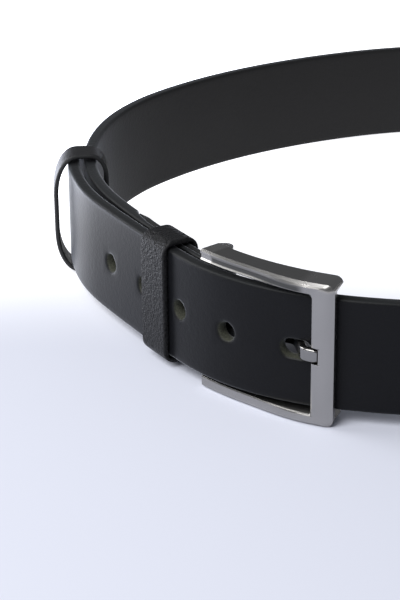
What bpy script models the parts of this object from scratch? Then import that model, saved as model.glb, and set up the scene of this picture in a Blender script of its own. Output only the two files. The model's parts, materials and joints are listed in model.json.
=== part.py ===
# Leather belt, buckled into a loop and standing on its edge.
# One strap folds round the buckle's hinge pin, runs round the waist, passes under the buckle's
# front bar and ends in a punched tail that two leather keepers hold against the inner ply.
#
# Everything near the strap is first built flat, as if the belt lay straight: x runs along the
# strap, y runs from the outer face towards the wearer and z is the height above the strap's lower
# edge. bend() then wraps it round the loop. Flat x = 0, y = 0 is the middle of the buckle on the
# outer face of the inner ply. World -Y is the front, where the buckle is.
import bpy
import bmesh
import math
from mathutils import Matrix, Vector

MM = 0.001

# loop: tangent arcs from the middle of the buckle round the wearer's side to the back
BUCKLE_ARC = (105 * MM, 23.8)
FLANK_ARC = (440 * MM, 7.5)
HIP_ARC = (120 * MM, 63.0)
REAR_ARC = (214 * MM, 30.5)

# strap
STRAP_WIDTH = 40 * MM
STRAP_THICKNESS = 4.5 * MM
FEATHER_THICKNESS = 0.5 * MM
FOLD_LENGTH = 56 * MM
FOLD_CLOSES = 9 * MM
SKIVE_BLEND = 12 * MM
SKIVE_STEP = 2 * MM
PLY_GAP = 0.3 * MM
TAIL_GAP_TIGHT = 0.6 * MM
TAIL_GAP_LOOSE = 1.8 * MM
TAIL_LOOSENS = (66 * MM, 120 * MM)
TAIL_CLIMB = (-46 * MM, 30 * MM)
TAIL_END = 177 * MM
TIP_LENGTH = 30 * MM
STATION_STEP = 6 * MM

# punched holes
HOLE_COUNT = 5
USED_HOLE = -6.2 * MM
HOLE_PITCH = 24 * MM
FIRST_HOLE = 90 * MM
USED_HOLE_STRETCH = 3.8 * MM

# buckle
FRAME_CLEARANCE_LOW = 0.5 * MM
FRAME_CLEARANCE_HIGH = 1.7 * MM
RAIL_HEIGHT = 4.2 * MM
RAIL_FRONT = 4.2 * MM
RAIL_BACK = 4.4 * MM
RAIL_OVERHANG = 2.5 * MM
RAIL_SHORTFALL = 0.4 * MM
BAR_LEFT = 12.6 * MM
BAR_WIDTH = 7.6 * MM
BAR_THICKNESS = 3.9 * MM
BAR_CLEARANCE = 0.5 * MM
NOTCH_WIDTH = 5.8 * MM
NOTCH_LENGTH = 2.8 * MM
NOTCH_DEPTH = 2.6 * MM
PIN_PLACE = -29 * MM
PIN_RADIUS = 1.75 * MM
PIN_DEPTH = 2.4 * MM
LUG_RADIUS = 3.2 * MM
LUG_HEIGHT = 3.3 * MM
RUNNING_GAP = 0.3 * MM

# prong
PRONG_WIDTH = 4.6 * MM
PRONG_THICKNESS = 2.3 * MM
PRONG_WRAP = 270.0
SLOT_CLEARANCE = 0.5 * MM
WINDOW_REACH = 6.7 * MM
HOLE_CLEARANCE = 1.0 * MM

# keepers
FIXED_KEEPER_PLACE = -55.5 * MM
FIXED_KEEPER_WIDTH = 15 * MM
FIXED_KEEPER_THICKNESS = 2.0 * MM
FIXED_KEEPER_SLACK = (0.5 * MM, 0.8 * MM)
FIXED_KEEPER_CORNERS = ((1.1 * MM, 1.1 * MM), (1.1 * MM, 1.1 * MM))
FREE_KEEPER_PLACE = 145.1 * MM
FREE_KEEPER_WIDTH = 11.2 * MM
FREE_KEEPER_THICKNESS = 1.7 * MM
FREE_KEEPER_SLACK_OUT = 4.1 * MM
FREE_KEEPER_SLACK_IN = 2.8 * MM
FREE_KEEPER_DROP = (1.8 * MM, 2.6 * MM)
FREE_KEEPER_CORNERS = ((7.5 * MM, 14.5 * MM), (5.0 * MM, 8.0 * MM))
STAPLE_WIRE = 0.5 * MM
STAPLE_SPAN = 7 * MM

# fasteners of the fold
POST_PLACES = (-41.5 * MM, -72 * MM)
POST_RADIUS = 2.2 * MM
POST_HEAD_RADIUS = 4.2 * MM
POST_HEAD_THICKNESS = 0.9 * MM
SCREW_RADIUS = 1.2 * MM
SCREW_SLOT_WIDTH = 0.8 * MM

# stance: the strap rides above the floor at the front, on the buckle's lower rail
LIFT_FADE = (-60 * MM, 150 * MM)


def smooth_step(value, start, end):
    ratio = min(1.0, max(0.0, (value - start) / (end - start)))
    return ratio * ratio * (3 - 2 * ratio)


class Loop:
    """Closed plan curve of the inner ply's outer face, symmetric about the buckle's middle."""

    def __init__(self, arcs):
        self.arcs = []
        point = Vector((0, 0))
        heading = math.pi
        for radius, turn in arcs:
            point, heading = self.add_arc(point, heading, radius, math.radians(turn))
        closing_radius = -point.x / math.sin(heading)
        point, heading = self.add_arc(point, heading, closing_radius, heading)
        self.depth = point.y
        self.half = sum(radius * turn for _, _, radius, turn in self.arcs)
        self.length = 2 * self.half

    def add_arc(self, point, heading, radius, turn):
        centre = point + radius * self.outward(heading - math.pi)
        self.arcs.append((centre, heading, radius, turn))
        heading -= turn
        return centre + radius * self.outward(heading), heading

    @staticmethod
    def outward(heading):
        return Vector((math.cos(heading + math.pi / 2), math.sin(heading + math.pi / 2)))

    def frame_at(self, along):
        """Point and outward normal at a distance along the curve from the buckle's middle."""
        along %= self.length
        mirrored = along > self.half
        rest = self.length - along if mirrored else along
        for centre, heading, radius, turn in self.arcs:
            if rest <= radius * turn or centre is self.arcs[-1][0]:
                normal = self.outward(heading - rest / radius)
                point = centre + radius * normal
                break
            rest -= radius * turn
        point = Vector((point.x, point.y - self.depth / 2))
        if mirrored:
            return Vector((-point.x, point.y)), Vector((-normal.x, normal.y))
        return point, normal

    def centre_of(self, index):
        centre = self.arcs[index][0]
        return Vector((centre.x, centre.y - self.depth / 2))


LOOP = Loop([BUCKLE_ARC, FLANK_ARC, HIP_ARC, REAR_ARC])
FRAME_DROP = FRAME_CLEARANCE_LOW + RAIL_HEIGHT
FRAME_MIDDLE = (STRAP_WIDTH + FRAME_CLEARANCE_HIGH - FRAME_CLEARANCE_LOW) / 2
SKIVED_THICKNESS = (STRAP_THICKNESS - PLY_GAP) / 2
PIN_OFFSET = PIN_RADIUS + RUNNING_GAP + SKIVED_THICKNESS
HOLE_RADIUS = PRONG_WIDTH / 2 + HOLE_CLEARANCE


def lift_at(point):
    return FRAME_DROP * (1 - smooth_step(point.y, *LIFT_FADE))


def place(flat):
    """Flat position to its place round the loop."""
    point, normal = LOOP.frame_at(-flat.x)
    point = point - normal * flat.y
    return Vector((point.x, point.y, flat.z + lift_at(point)))


def pin_axis():
    return place(Vector((PIN_PLACE, PIN_OFFSET, 0)))


# ---- helpers ----------------------------------------------------------------------------------

def make_collection(name):
    collection = bpy.data.collections.new(name)
    bpy.context.scene.collection.children.link(collection)
    return collection


def make_material(name, color, roughness, metallic=0.0):
    material = bpy.data.materials.new(name)
    material.use_nodes = True
    shader = material.node_tree.nodes["Principled BSDF"]
    shader.inputs["Base Color"].default_value = (*color, 1)
    shader.inputs["Roughness"].default_value = roughness
    shader.inputs["Metallic"].default_value = metallic
    return material


def new_object(name, mesh, collection):
    item = bpy.data.objects.new(name, mesh)
    collection.objects.link(item)
    return item


def from_bmesh(name, bm, collection):
    mesh = bpy.data.meshes.new(name)
    bm.to_mesh(mesh)
    bm.free()
    return new_object(name, mesh, collection)


def box(name, low, high, collection):
    bm = bmesh.new()
    size = Vector(high) - Vector(low)
    middle = (Vector(high) + Vector(low)) / 2
    matrix = Matrix.Translation(middle) @ Matrix.Diagonal((*size, 1))
    bmesh.ops.create_cube(bm, size=1, matrix=matrix)
    return from_bmesh(name, bm, collection)


def cylinder(name, radius, base, top, segments, collection):
    bm = bmesh.new()
    base, top = Vector(base), Vector(top)
    turn = (top - base).to_track_quat("Z", "Y").to_matrix().to_4x4()
    bmesh.ops.create_cone(bm, cap_ends=True, segments=segments, radius1=radius, radius2=radius,
                          depth=(top - base).length,
                          matrix=Matrix.Translation((base + top) / 2) @ turn)
    return from_bmesh(name, bm, collection)


def outline(name, rings, half_height, matrix, collection):
    """Closed outlines in the curve's own XY plane, extruded both ways, made a welded mesh."""
    curve = bpy.data.curves.new(name, "CURVE")
    curve.dimensions = "2D"
    curve.fill_mode = "BOTH"
    curve.extrude = half_height
    for ring in rings:
        spline = curve.splines.new("POLY")
        spline.points.add(len(ring) - 1)
        for point, (x, y) in zip(spline.points, ring):
            point.co = (x, y, 0, 1)
        spline.use_cyclic_u = True
    item = new_object(name, curve, collection)
    item.matrix_world = matrix
    return solidified(item, collection)


def solidified(item, collection):
    """The object as the modifiers leave it, as a new welded mesh with its place applied."""
    bpy.context.view_layer.update()
    depsgraph = bpy.context.evaluated_depsgraph_get()
    mesh = bpy.data.meshes.new_from_object(item.evaluated_get(depsgraph))
    mesh.transform(item.matrix_world)
    bm = bmesh.new()
    bm.from_mesh(mesh)
    bmesh.ops.remove_doubles(bm, verts=bm.verts, dist=0.01 * MM)
    bmesh.ops.recalc_face_normals(bm, faces=bm.faces)
    bm.to_mesh(mesh)
    bm.free()
    name = item.name
    bpy.data.objects.remove(item)
    return new_object(name, mesh, collection)


def combine(item, other, operation):
    modifier = item.modifiers.new(other.name, "BOOLEAN")
    modifier.operation = operation
    modifier.object = other
    modifier.solver = "EXACT"
    return modifier


def join_in(item, other, collection):
    """Union of two meshes as one mesh; the second is used up."""
    combine(item, other, "UNION")
    joined = solidified(item, collection)
    bpy.data.objects.remove(other)
    return joined


def cut_out(item, cutters, collection):
    for cutter in cutters:
        combine(item, cutter, "DIFFERENCE")
    return solidified(item, collection)


def slice_along(item, step):
    """Adds cross cuts along x, so that the piece can bend."""
    bm = bmesh.new()
    bm.from_mesh(item.data)
    low = min(vert.co.x for vert in bm.verts)
    high = max(vert.co.x for vert in bm.verts)
    count = max(1, round((high - low) / step))
    for index in range(1, count):
        cut = Vector((low + (high - low) * index / count, 0, 0))
        geometry = bm.verts[:] + bm.edges[:] + bm.faces[:]
        bmesh.ops.bisect_plane(bm, geom=geometry, dist=0.02 * MM, plane_co=cut, plane_no=(1, 0, 0))
    bm.to_mesh(item.data)
    bm.free()


def bend(item, origin, material, parent, smooth=35):
    """Wraps a flat piece round the loop and gives it its origin, material and parent."""
    for vert in item.data.vertices:
        vert.co = place(vert.co) - origin
    finish(item, origin, material, parent, smooth)


def finish(item, origin, material, parent, smooth=35):
    item.location = origin
    item.parent = parent
    item.data.materials.clear()
    item.data.materials.append(material)
    item.data.shade_smooth()
    item.data.set_sharp_from_angle(angle=math.radians(smooth))
    item.data.update()


def hide_cutters(collection):
    for item in collection.objects:
        item.hide_render = True
        item.display_type = "WIRE"


# ---- strap ------------------------------------------------------------------------------------

def tail_gap(along):
    return TAIL_GAP_TIGHT + (TAIL_GAP_LOOSE - TAIL_GAP_TIGHT) * smooth_step(along, *TAIL_LOOSENS)


def tail_face(along):
    """How far the tail's outer face stands outside the inner ply's outer face."""
    climb = smooth_step(along, *TAIL_CLIMB)
    return climb * (tail_gap(along) + STRAP_THICKNESS)


def fold_face(distance):
    """Depth of the turned-back end's outside at a distance behind the pin."""
    flat = strap_thickness(distance - PIN_PLACE) + PLY_GAP + turned_thickness(distance)
    bulge = 2 * PIN_OFFSET - flat
    return flat + bulge * (1 - smooth_step(distance, 0, FOLD_CLOSES))


def spread(start, end, step):
    """Places from start to end, both included, evenly spaced about a step apart."""
    count = max(1, round(abs(end - start) / step))
    return [start + (end - start) * index / count for index in range(count + 1)]


def strap_stations():
    """Grain-side line of the strap as flat (x, y), with its thickness and half width there."""
    stations = []
    wide = STRAP_WIDTH / 2
    skive_start = FOLD_LENGTH - SKIVE_BLEND
    close_steps = 8
    distances = spread(FOLD_LENGTH, skive_start, STATION_STEP)
    distances += spread(skive_start, FOLD_CLOSES, STATION_STEP)[1:]
    distances += spread(FOLD_CLOSES, 0, FOLD_CLOSES / close_steps)[1:-1]
    for distance in distances:
        stations.append((PIN_PLACE - distance, fold_face(distance), turned_thickness(distance), wide))
    wrap_steps = 12
    for index in range(wrap_steps + 1):
        angle = math.pi * index / wrap_steps
        stations.append((PIN_PLACE + PIN_OFFSET * math.sin(angle),
                         PIN_OFFSET + PIN_OFFSET * math.cos(angle), SKIVED_THICKNESS, wide))
    fold_end = FOLD_LENGTH + PLY_GAP - PIN_PLACE
    end = LOOP.length + TAIL_END
    laps = spread(-PIN_PLACE + STATION_STEP / 2, skive_start - PIN_PLACE, STATION_STEP)
    laps += spread(skive_start - PIN_PLACE, fold_end, STATION_STEP)[1:]
    laps += spread(fold_end + SKIVE_STEP, end - TIP_LENGTH, STATION_STEP)
    for along in laps:
        stations.append((-along, -tail_face(along - LOOP.length), strap_thickness(along), wide))
    tip_steps = 10
    for index in range(1, tip_steps + 1):
        ratio = math.sin(math.pi / 2 * index / tip_steps) * 0.995
        along = end - TIP_LENGTH * (1 - ratio)
        half = wide * (1 - ratio ** 2.6) ** (1 / 1.7)
        stations.append((-along, -tail_face(along - LOOP.length), STRAP_THICKNESS, half))
    return stations


def turned_thickness(distance):
    """Thickness of the turned-back end, feathered at its end, by distance behind the pin."""
    feather = (distance - FOLD_LENGTH + SKIVE_BLEND) / SKIVE_BLEND
    feather = min(1.0, max(0.0, feather))
    return SKIVED_THICKNESS + (FEATHER_THICKNESS - SKIVED_THICKNESS) * feather


def strap_thickness(along):
    """Thickness of the inner ply, which with the turned-back end is as thick as the strap."""
    distance = along + PIN_PLACE
    if distance > FOLD_LENGTH + PLY_GAP + SKIVE_STEP / 2:
        return STRAP_THICKNESS
    return STRAP_THICKNESS - PLY_GAP - turned_thickness(distance)


def hole_places():
    """Distance along the loop of each hole, a pitch apart on the tail's outer face, and last the
    one in use, where the prong comes through."""
    along = FIRST_HOLE
    places = []
    for _ in range(HOLE_COUNT - 1):
        places.append(along)
        goal = HOLE_PITCH
        last = place(Vector((-along, -tail_face(along), 0)))
        while goal > 0:
            along -= 0.1 * MM
            here = place(Vector((-along, -tail_face(along), 0)))
            goal -= (here - last).length
            last = here
    return places + [USED_HOLE]


def hole_cutter(name, along, stretch, cutters):
    """Round punch through the tail, or a pulled oval one. Where the inner ply lies behind the
    tail it stops in the gap between them."""
    over_fold = along + stretch / 2 + HOLE_RADIUS > -PIN_PLACE - PIN_OFFSET
    outside = -tail_face(along) - 2 * MM
    inside = -tail_face(along) + STRAP_THICKNESS + (TAIL_GAP_TIGHT / 2 if over_fold else 2 * MM)
    ends = [Vector((-along + shift, 0)) for shift in (-stretch / 2, stretch / 2)]
    steps = 10
    ring = []
    for side, centre in zip((-1, 1), ends):
        for index in range(steps + 1):
            angle = math.pi * (index / steps - 0.5)
            ring.append((centre.x + side * HOLE_RADIUS * math.cos(angle),
                         STRAP_WIDTH / 2 + side * HOLE_RADIUS * math.sin(angle)))
    turn = Matrix.Rotation(math.pi / 2, 4, "X")
    middle = Matrix.Translation((0, (outside + inside) / 2, 0))
    cutter = outline(name, [ring], (inside - outside) / 2, middle @ turn, cutters)
    for vert in cutter.data.vertices:
        vert.co = place(vert.co)
    return cutter


def make_strap(parts, cutters, material, parent):
    stations = strap_stations()
    bm = bmesh.new()
    weights = bm.verts.layers.deform.verify()
    rows = []
    for x, y, thickness, half in stations:
        row = []
        for side in (-1, 1):
            vert = bm.verts.new(place(Vector((x, y, STRAP_WIDTH / 2 + side * half))))
            vert[weights][0] = thickness / STRAP_THICKNESS
            row.append(vert)
        rows.append(row)
    for near, far in zip(rows, rows[1:]):
        bm.faces.new((near[0], near[1], far[1], far[0]))
    strap = from_bmesh("strap", bm, parts)
    strap.vertex_groups.new(name="skive")
    shell = strap.modifiers.new("thickness", "SOLIDIFY")
    shell.thickness = STRAP_THICKNESS
    shell.offset = -1
    shell.use_even_offset = True
    shell.vertex_group = "skive"
    strap = solidified(strap, parts)
    punches = []
    for index, along in enumerate(hole_places()):
        stretch = USED_HOLE_STRETCH if index == HOLE_COUNT - 1 else 0.0
        punches.append(hole_cutter("hole_punch_%d" % (index + 1), along, stretch, cutters))
    punches.append(prong_window(cutters))
    for index, x in enumerate(POST_PLACES):
        punches.extend(post_seats(index, x, cutters))
    strap = cut_out(strap, punches, parts)
    finish(strap, Vector((0, 0, 0)), material, parent)
    return strap


def prong_window(cutters):
    """Slot through both plies of the fold, for the prong's eye."""
    half = PRONG_WIDTH / 2 + SLOT_CLEARANCE
    low = (PIN_PLACE - WINDOW_REACH, -0.2 * MM, FRAME_MIDDLE - half)
    high = (PIN_PLACE + PIN_OFFSET + 1 * MM, 2 * PIN_OFFSET + 1 * MM, FRAME_MIDDLE + half)
    window = box("prong_window", low, high, cutters)
    slice_along(window, 3 * MM)
    for vert in window.data.vertices:
        vert.co = place(vert.co)
    return window


# ---- buckle -----------------------------------------------------------------------------------

def bar_back():
    """Depth of the bar's rear face, just outside the tail that passes under it."""
    return -(tail_face(-BAR_LEFT) + BAR_CLEARANCE)


def make_frame(parts, cutters, material, parent):
    top = STRAP_WIDTH + FRAME_CLEARANCE_HIGH + RAIL_HEIGHT
    left = PIN_PLACE - RAIL_OVERHANG
    right = BAR_LEFT + BAR_WIDTH - RAIL_SHORTFALL
    back = bar_back()
    bar = box("buckle_frame", (BAR_LEFT, back - BAR_THICKNESS, -FRAME_DROP),
              (BAR_LEFT + BAR_WIDTH, back, top), parts)
    sides = (("upper_rail", top - RAIL_HEIGHT, top), ("lower_rail", -FRAME_CLEARANCE_LOW, -FRAME_DROP))
    for name, inner, outer in sides:
        rail = box(name, (left, -RAIL_FRONT, min(inner, outer)),
                   (right, RAIL_BACK, max(inner, outer)), parts)
        lug_end = inner + (outer - inner) * LUG_HEIGHT / RAIL_HEIGHT
        lug = cylinder(name + "_lug", LUG_RADIUS, (PIN_PLACE, PIN_OFFSET, min(inner, lug_end)),
                       (PIN_PLACE, PIN_OFFSET, max(inner, lug_end)), 24, parts)
        rail = join_in(rail, lug, parts)
        bar = join_in(bar, rail, parts)
    notch = box("prong_notch",
                (BAR_LEFT - 1 * MM, back - BAR_THICKNESS - 1 * MM, FRAME_MIDDLE - NOTCH_WIDTH / 2),
                (BAR_LEFT + NOTCH_LENGTH, back - BAR_THICKNESS + NOTCH_DEPTH,
                 FRAME_MIDDLE + NOTCH_WIDTH / 2), cutters)
    pin_low, pin_high = pin_ends()
    bore = cylinder("pin_bore", PIN_RADIUS + RUNNING_GAP,
                    (PIN_PLACE, PIN_OFFSET, pin_low - RUNNING_GAP),
                    (PIN_PLACE, PIN_OFFSET, pin_high + RUNNING_GAP), 24, cutters)
    frame = cut_out(bar, [notch, bore], parts)
    slice_along(frame, 5 * MM)
    bend(frame, pin_axis(), material, parent)
    return frame


def pin_ends():
    return -FRAME_CLEARANCE_LOW - PIN_DEPTH, STRAP_WIDTH + FRAME_CLEARANCE_HIGH + PIN_DEPTH


def make_pin(parts, material, parent):
    low, high = pin_ends()
    pin = cylinder("hinge_pin", PIN_RADIUS, (0, 0, low), (0, 0, high), 24, parts)
    finish(pin, pin_axis(), material, parent)
    return pin


def prong_line():
    """Middle line of the prong's strip: rolled round the pin, low behind the tail, up through
    the used hole and out to the bar's notch."""
    line = []
    eye = PIN_RADIUS + RUNNING_GAP + PRONG_THICKNESS / 2
    steps = 20
    for index in range(steps + 1):
        angle = math.radians(PRONG_WRAP * (index / steps - 1) - 90)
        line.append(Vector((PIN_PLACE + eye * math.cos(angle),
                            PIN_OFFSET + eye * math.sin(angle))))
    ledge = bar_back() - BAR_THICKNESS + NOTCH_DEPTH
    tip = Vector((BAR_LEFT + NOTCH_LENGTH - 0.4 * MM, ledge - RUNNING_GAP - PRONG_THICKNESS / 2))
    used = -USED_HOLE
    flesh = -tail_face(USED_HOLE) + STRAP_THICKNESS
    under = flesh + PRONG_THICKNESS / 2
    knots = [line[-1], Vector((PIN_PLACE + 12 * MM, PIN_OFFSET - eye + 1.1 * MM)),
             Vector((used - 8 * MM, under + 0.9 * MM)),
             Vector((used - 3.1 * MM, under + 0.6 * MM)),
             Vector((used + 1.4 * MM, flesh - STRAP_THICKNESS * 0.75)),
             Vector((used + 4.3 * MM, tip.y + 0.3 * MM)), tip]
    line.extend(through(knots, 5))
    return line


def through(knots, steps):
    """Smooth points between knots, on a Catmull-Rom curve."""
    ends = [2 * knots[0] - knots[1]] + knots + [2 * knots[-1] - knots[-2]]
    points = []
    for before, start, end, after in zip(ends, ends[1:], ends[2:], ends[3:]):
        for index in range(1, steps + 1):
            t = index / steps
            points.append(0.5 * (2 * start + (end - before) * t
                                 + (2 * before - 5 * start + 4 * end - after) * t ** 2
                                 + (3 * start - before - 3 * end + after) * t ** 3))
    return points


def strip_outline(line, thickness):
    """Outline of a strip of one thickness along a middle line."""
    left, right = [], []
    for index, point in enumerate(line):
        ahead = line[min(index + 1, len(line) - 1)] - line[max(index - 1, 0)]
        side = Vector((-ahead.y, ahead.x)).normalized() * thickness / 2
        left.append(point + side)
        right.append(point - side)
    return [tuple(point) for point in left + right[::-1]]


def make_prong(parts, material, parent):
    ring = strip_outline(prong_line(), PRONG_THICKNESS)
    middle = Matrix.Translation((0, 0, FRAME_MIDDLE))
    prong = outline("prong", [ring], PRONG_WIDTH / 2, middle, parts)
    bend(prong, pin_axis(), material, parent)
    return prong


# ---- keepers ----------------------------------------------------------------------------------

def rounded_ring(low, high, radii, steps=6):
    """Rectangle whose low-x and high-x corners are quarter ellipses, anticlockwise. Each pair
    of radii is the ellipse's width and its height."""
    corners = ((high[0], low[1], -90, radii[1]), (high[0], high[1], 0, radii[1]),
               (low[0], high[1], 90, radii[0]), (low[0], low[1], 180, radii[0]))
    ring = []
    for x, y, start, (wide, tall) in corners:
        centre_x = x - wide if x == high[0] else x + wide
        centre_y = y - tall if y == high[1] else y + tall
        for index in range(steps + 1):
            angle = math.radians(start + 90 * index / steps)
            ring.append((centre_x + wide * math.cos(angle), centre_y + tall * math.sin(angle)))
    return ring


def keeper_band(name, place_x, width, thickness, low, high, radii, parts):
    """Flat-space leather band round an opening given in y and z."""
    inner = rounded_ring(low, high, radii)
    outer = rounded_ring((low[0] - thickness, low[1] - thickness),
                         (high[0] + thickness, high[1] + thickness),
                         [(wide + thickness, tall + thickness) for wide, tall in radii])
    # the outline's own X and Y become flat y and z, its extrusion runs along flat x
    turn = Matrix(((0, 0, 1, place_x), (1, 0, 0, 0), (0, 1, 0, 0), (0, 0, 0, 1)))
    band = outline(name, [outer, inner], width / 2, turn, parts)
    slice_along(band, 4 * MM)
    return band


def make_fixed_keeper(parts, material, parent):
    side, end = FIXED_KEEPER_SLACK
    outside = -(tail_gap(-FIXED_KEEPER_PLACE) + STRAP_THICKNESS) - side
    low = (outside, -end)
    high = (STRAP_THICKNESS + side, STRAP_WIDTH + end)
    band = keeper_band("fixed_keeper", FIXED_KEEPER_PLACE, FIXED_KEEPER_WIDTH,
                       FIXED_KEEPER_THICKNESS, low, high, FIXED_KEEPER_CORNERS, parts)
    bend(band, Vector((0, 0, 0)), material, parent)
    return band


def free_keeper_opening():
    outside = -(TAIL_GAP_LOOSE + STRAP_THICKNESS + FREE_KEEPER_SLACK_OUT)
    inside = STRAP_THICKNESS + FREE_KEEPER_SLACK_IN
    over, under = FREE_KEEPER_DROP
    return (outside, -under), (inside, STRAP_WIDTH + over)


def hip_centre():
    """Centre of the hip arc, which the free keeper's slide goes round."""
    centre = LOOP.centre_of(2)
    return Vector((centre.x, centre.y, 0))


def make_free_keeper(parts, material, parent):
    low, high = free_keeper_opening()
    band = keeper_band("free_keeper", -FREE_KEEPER_PLACE, FREE_KEEPER_WIDTH,
                       FREE_KEEPER_THICKNESS, low, high, FREE_KEEPER_CORNERS, parts)
    bend(band, hip_centre(), material, parent)
    return band


def make_staple(name, place_x, back, origin, parts, material, parent):
    """Wire staple lying on the wearer's side of a keeper, where the band's ends meet."""
    curve = bpy.data.curves.new(name, "CURVE")
    curve.dimensions = "3D"
    curve.bevel_depth = STAPLE_WIRE
    curve.bevel_resolution = 2
    curve.use_fill_caps = True
    spline = curve.splines.new("POLY")
    y = back + STAPLE_WIRE + RUNNING_GAP
    middle = STRAP_WIDTH / 2
    points = [place(Vector((place_x, y, middle + side * STAPLE_SPAN / 2))) for side in (-1, 1)]
    spline.points.add(1)
    for point, position in zip(spline.points, points):
        point.co = (*(position - origin), 1)
    item = new_object(name, curve, parts)
    item.data.materials.append(material)
    staple = solidified(item, parts)
    finish(staple, origin, material, parent)
    return staple


# ---- fold fasteners ---------------------------------------------------------------------------

def local_cylinder(name, radius, place_x, y_from, y_to, segments, collection):
    """Cylinder through the strap's thickness, square to the strap at its place."""
    middle = STRAP_WIDTH / 2
    start = place(Vector((place_x, y_from, middle)))
    end = place(Vector((place_x, y_to, middle)))
    return cylinder(name, radius, start, end, segments, collection)


def post_seats(index, place_x, cutters):
    """Shank hole through the fold and the flush seat of the post's head."""
    gap = RUNNING_GAP
    through_hole = local_cylinder("post_hole_%d" % (index + 1), POST_RADIUS + gap, place_x,
                                  -0.2 * MM, STRAP_THICKNESS + 3 * MM, 20, cutters)
    seat = local_cylinder("post_seat_%d" % (index + 1), POST_HEAD_RADIUS + gap, place_x,
                          -0.2 * MM, POST_HEAD_THICKNESS + gap, 24, cutters)
    return [through_hole, seat]


def make_post(index, place_x, parts, cutters, material, parent):
    """Flush-headed post with a bore for its screw."""
    name = "screw_post_%d" % (index + 1)
    face = fold_back_face(place_x)
    head = local_cylinder(name, POST_HEAD_RADIUS, place_x, 0.0, POST_HEAD_THICKNESS, 24, parts)
    shank = local_cylinder(name + "_shank", POST_RADIUS, place_x, POST_HEAD_THICKNESS / 2,
                           face, 20, parts)
    post = join_in(head, shank, parts)
    bore = local_cylinder(name + "_bore", SCREW_RADIUS + RUNNING_GAP, place_x,
                          POST_HEAD_THICKNESS, face + 1 * MM, 16, cutters)
    post = cut_out(post, [bore], parts)
    finish(post, Vector((0, 0, 0)), material, parent)
    return post


def make_screw(index, place_x, parts, cutters, material, parent):
    """Slotted screw that closes the post from the wearer's side."""
    name = "screw_%d" % (index + 1)
    face = fold_back_face(place_x) + RUNNING_GAP
    head = local_cylinder(name, POST_HEAD_RADIUS, place_x, face, face + POST_HEAD_THICKNESS,
                          24, parts)
    shank = local_cylinder(name + "_shank", SCREW_RADIUS, place_x,
                           POST_HEAD_THICKNESS + 3 * RUNNING_GAP, face + POST_HEAD_THICKNESS / 2,
                           16, parts)
    screw = join_in(head, shank, parts)
    slot = box(name + "_slot",
               (place_x - POST_HEAD_RADIUS * 1.5, face + POST_HEAD_THICKNESS * 0.5,
                STRAP_WIDTH / 2 - SCREW_SLOT_WIDTH / 2),
               (place_x + POST_HEAD_RADIUS * 1.5, face + POST_HEAD_THICKNESS * 2,
                STRAP_WIDTH / 2 + SCREW_SLOT_WIDTH / 2), cutters)
    for vert in slot.data.vertices:
        vert.co = place(vert.co)
    screw = cut_out(screw, [slot], parts)
    finish(screw, Vector((0, 0, 0)), material, parent)
    return screw


def fold_back_face(place_x):
    return fold_face(PIN_PLACE - place_x)


# ---- the belt ---------------------------------------------------------------------------------

def build():
    for item in list(bpy.data.objects):
        bpy.data.objects.remove(item)
    parts = make_collection("leather_belt")
    cutters = make_collection("cutters")
    leather = make_material("strap_leather", (0.022, 0.023, 0.028), 0.42)
    grain = make_material("fixed_keeper_leather", (0.030, 0.031, 0.035), 0.55)
    loose = make_material("free_keeper_leather", (0.020, 0.021, 0.022), 0.48)
    gunmetal = make_material("buckle_metal", (0.30, 0.30, 0.32), 0.28, 1.0)
    prong_metal = make_material("prong_metal", (0.34, 0.33, 0.34), 0.16, 1.0)
    pin_metal = make_material("pin_metal", (0.32, 0.32, 0.33), 0.30, 1.0)
    wire = make_material("staple_wire", (0.42, 0.42, 0.43), 0.30, 1.0)
    brass = make_material("post_metal", (0.30, 0.30, 0.32), 0.32, 1.0)

    root = bpy.data.objects.new("belt_root", None)
    parts.objects.link(root)

    make_strap(parts, cutters, leather, root)
    make_frame(parts, cutters, gunmetal, root)
    make_pin(parts, pin_metal, root)
    make_prong(parts, prong_metal, root)
    make_fixed_keeper(parts, grain, root)
    make_free_keeper(parts, loose, root)
    make_staple("fixed_keeper_staple", FIXED_KEEPER_PLACE,
                STRAP_THICKNESS + FIXED_KEEPER_SLACK[0] + FIXED_KEEPER_THICKNESS,
                Vector((0, 0, 0)), parts, wire, root)
    make_staple("free_keeper_staple", -FREE_KEEPER_PLACE,
                free_keeper_opening()[1][0] + FREE_KEEPER_THICKNESS,
                hip_centre(), parts, wire, root)
    for index, place_x in enumerate(POST_PLACES):
        make_post(index, place_x, parts, cutters, brass, root)
        make_screw(index, place_x, parts, cutters, brass, root)
    hide_cutters(cutters)
    centre_on_floor(root, parts)


def centre_on_floor(root, parts):
    """Moves the belt so that the origin is the middle of its box's bottom."""
    bpy.context.view_layer.update()
    corners = [piece.matrix_world @ Vector(corner) for piece in parts.objects
               if piece.type == "MESH" for corner in piece.bound_box]
    low = Vector(map(min, zip(*corners)))
    high = Vector(map(max, zip(*corners)))
    root.location = -Vector(((low.x + high.x) / 2, (low.y + high.y) / 2, low.z))


build()
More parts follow.
